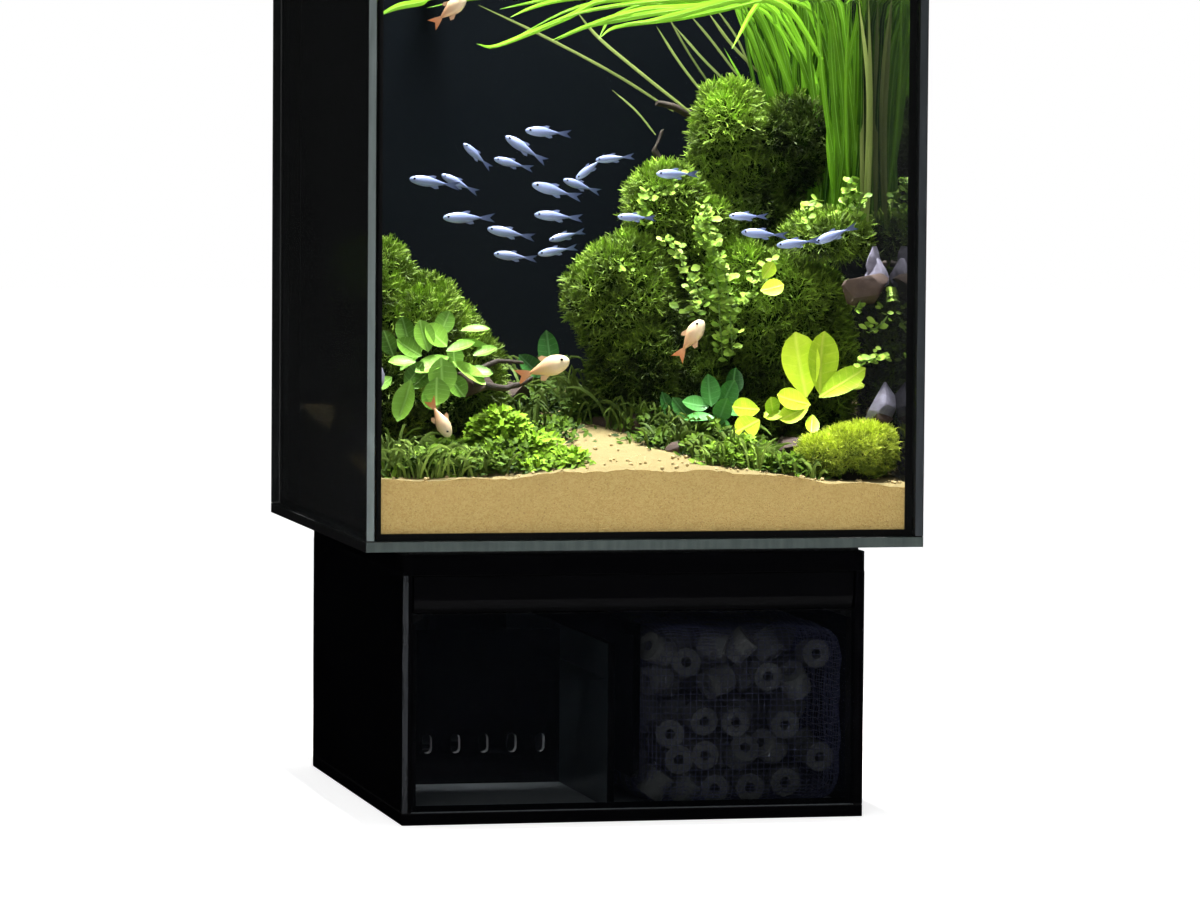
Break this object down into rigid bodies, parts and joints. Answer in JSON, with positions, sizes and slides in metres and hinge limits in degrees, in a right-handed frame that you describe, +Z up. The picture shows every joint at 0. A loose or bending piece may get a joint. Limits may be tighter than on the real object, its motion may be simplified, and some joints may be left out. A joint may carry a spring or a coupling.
{
  "type": "overflow aquarium on filter stand",
  "caption": "Small glass overflow aquarium with a planted stone layout, on a black filter cabinet with ring media, pump and pull-out wool drawer.",
  "frame": {"origin": "on the floor under the middle of the tank", "axes": "+Z up, the tank's front pane faces -Y, +X to the viewer's right"},
  "size_m": [0.2338, 0.23, 0.3625],
  "materials": {
    "smoked_acrylic": "cast acrylic, polished, nearly black",
    "smoked_pane": "smoked see-through sheet, polished",
    "black_acrylic": "cast black acrylic, polished",
    "clear_glass": "float glass with ground and polished edges",
    "dark_glass": "glass backed with black film",
    "black_silicone": "tooled black silicone",
    "black_plastic": "moulded black ABS",
    "grey_pipe": "extruded grey PVC",
    "black_foam": "closed-cell foam",
    "white_wool": "needled polyester wool",
    "net_bag": "knitted net bag full of ceramic rings",
    "ferrite": "bonded ferrite magnet and moulded vanes",
    "white_ceramic": "sintered ceramic",
    "clear_hose": "soft vinyl hose",
    "clear_plastic": "clear moulded acrylic",
    "sand": "loose golden sand",
    "stone": "rough stone under moss"
  },
  "bodies": {
    "aquarium": {"stand_floor": "smoked_acrylic", "stand_left_wall": "black_acrylic", "stand_right_wall": "black_acrylic", "stand_front_pane": "smoked_pane", "stand_back_wall": "black_acrylic", "stand_silicone": "black_silicone", "left_runner": "black_plastic", "right_runner": "black_plastic", "over_baffle": "black_acrylic", "under_baffle": "black_acrylic", "comb_baffle": "black_acrylic", "stand_deck": "black_acrylic", "levelling_mat": "black_foam", "media_bag": "net_bag", "pump_volute": "black_plastic", "pump_motor": "black_plastic", "rear_bush": "black_silicone", "front_bush": "black_silicone", "pump_shaft": "white_ceramic", "suction_cup_1": "black_silicone", "suction_cup_2": "black_silicone", "suction_cup_3": "black_silicone", "suction_cup_4": "black_silicone", "return_hose": "clear_hose", "tank_floor": "clear_glass", "tank_left_pane": "dark_glass", "tank_right_pane": "dark_glass", "tank_front_pane": "clear_glass", "tank_back_pane": "dark_glass", "tank_silicone": "black_silicone", "weir_wall": "black_acrylic", "drain_bulkhead": "grey_pipe", "drain_gasket": "black_silicone", "drain_nut": "grey_pipe", "drain_standpipe": "grey_pipe", "drain_strainer": "black_plastic", "return_bulkhead": "grey_pipe", "return_gasket": "black_silicone", "return_nut": "grey_pipe", "return_riser": "grey_pipe", "left_front_clip": "clear_plastic", "left_rear_clip": "clear_plastic", "right_front_clip": "clear_plastic", "right_rear_clip": "clear_plastic", "cover_ledge": "black_acrylic", "sand_bed": "sand", "right_moss_stone": "stone", "left_moss_stone": "stone", "cushion_stone": "stone"},
    "wool_drawer": {"drawer_tray": "black_plastic", "drawer_front": "black_acrylic", "wool_pad": "white_wool"},
    "lid": {"lid_glass": "clear_glass", "lid_handle": "clear_plastic"},
    "chamber_cover": {"chamber_cover": "black_acrylic"},
    "return_nozzle": {"return_nozzle": "black_plastic"},
    "pump_rotor": {"pump_rotor": "ferrite"},
    "intake_cover": {"intake_cover": "black_plastic"},
    "flow_dial": {"flow_dial": "grey_pipe"}
  },
  "joints": [
    {"name": "wool_drawer_slide", "type": "slide", "parent": "aquarium", "child": "wool_drawer", "axis": [0, -1, 0], "range_m": [0, 0.15]},
    {"name": "lid_lift", "type": "slide", "parent": "aquarium", "child": "lid", "axis": [0, 0, 1], "range_m": [0, 0.08]},
    {"name": "chamber_cover_lift", "type": "slide", "parent": "aquarium", "child": "chamber_cover", "axis": [0, 0, 1], "range_m": [0, 0.06]},
    {"name": "nozzle_swivel", "type": "hinge", "parent": "aquarium", "child": "return_nozzle", "pos_m": [-0.056, 0.0885, 0.338], "axis": [0, 0, 1], "range_deg": [-30, 30]},
    {"name": "rotor_spin", "type": "hinge", "parent": "aquarium", "child": "pump_rotor", "pos_m": [-0.056, 0.07724, 0.031], "axis": [1, 0, 0], "continuous": true},
    {"name": "intake_cover_slide", "type": "slide", "parent": "aquarium", "child": "intake_cover", "axis": [1, 0, 0], "range_m": [0, 0.008]},
    {"name": "flow_dial_turn", "type": "hinge", "parent": "intake_cover", "child": "flow_dial", "pos_m": [-0.056, 0.07724, 0.031], "axis": [1, 0, 0], "range_deg": [0, 90]}
  ]
}
